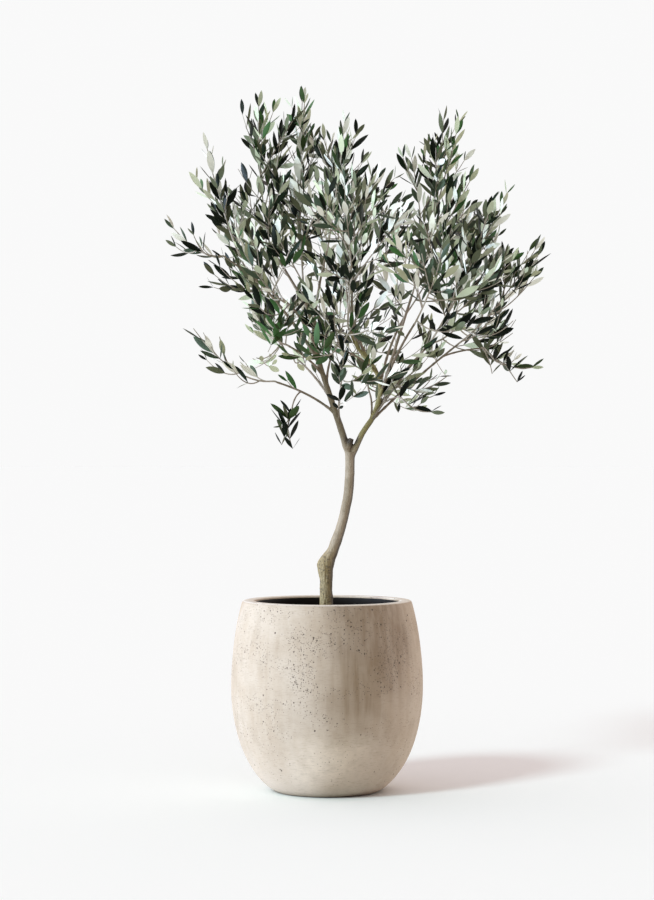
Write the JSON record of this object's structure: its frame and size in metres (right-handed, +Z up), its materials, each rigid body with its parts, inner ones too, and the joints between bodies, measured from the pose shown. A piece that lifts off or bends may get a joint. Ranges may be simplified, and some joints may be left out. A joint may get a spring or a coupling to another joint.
{
  "type": "potted olive tree",
  "caption": "Young olive tree with a slim leaning trunk that forks into an open crown of narrow grey-green leaves, in a round-bellied pale concrete pot.",
  "frame": {"origin": "centre of the pot's flat underside", "axes": "+Z up along the plant's height; the side seen in the picture faces -Y, with +X to its right"},
  "size_m": [0.7908, 0.6354, 1.4246],
  "materials": {
    "pot": "matt fine concrete with small dark pits",
    "soil": "dark loose potting soil",
    "bark": "dull grey-brown bark, fissured low down",
    "green_bark": "smooth olive-grey young bark",
    "foliage": "dark green upper faces with a dull wax, pale silver undersides"
  },
  "bodies": {
    "root": {"pot": "pot", "soil": "soil", "trunk": "bark", "bough_left": "green_bark", "bough_right": "green_bark", "limb_low_left": "green_bark", "limb_hanging": "green_bark", "limb_left": "green_bark", "limb_far_left": "green_bark", "limb_left_low": "green_bark", "limb_left_top": "green_bark", "limb_centre": "green_bark", "limb_right_top": "green_bark", "limb_right": "green_bark", "limb_right_low": "green_bark", "limb_far_right": "green_bark", "limb_low_right": "green_bark", "limb_low_tip": "green_bark", "limb_back_left": "green_bark", "limb_back": "green_bark", "limb_back_right": "green_bark", "limb_front_left": "green_bark", "limb_front": "green_bark", "limb_front_right": "green_bark", "limb_inner_front": "green_bark", "limb_inner_back": "green_bark", "limb_low_front": "green_bark", "limb_low_back": "green_bark", "limb_right_back": "green_bark", "limb_left_back": "green_bark", "foliage_low_left": "foliage", "foliage_hanging": "foliage", "foliage_left": "foliage", "foliage_far_left": "foliage", "foliage_left_low": "foliage", "foliage_left_top": "foliage", "foliage_crown_left": "foliage", "foliage_centre": "foliage", "foliage_crown_right": "foliage", "foliage_right_top": "foliage", "foliage_right": "foliage", "foliage_right_low": "foliage", "foliage_far_right": "foliage", "foliage_low_right": "foliage", "foliage_low_tip": "foliage", "foliage_back_left": "foliage", "foliage_back": "foliage", "foliage_back_right": "foliage", "foliage_front_left": "foliage", "foliage_front": "foliage", "foliage_front_right": "foliage", "foliage_inner_front": "foliage", "foliage_inner_back": "foliage", "foliage_low_front": "foliage", "foliage_low_back": "foliage", "foliage_right_back": "foliage", "foliage_left_back": "foliage"}
  },
  "joints": []
}
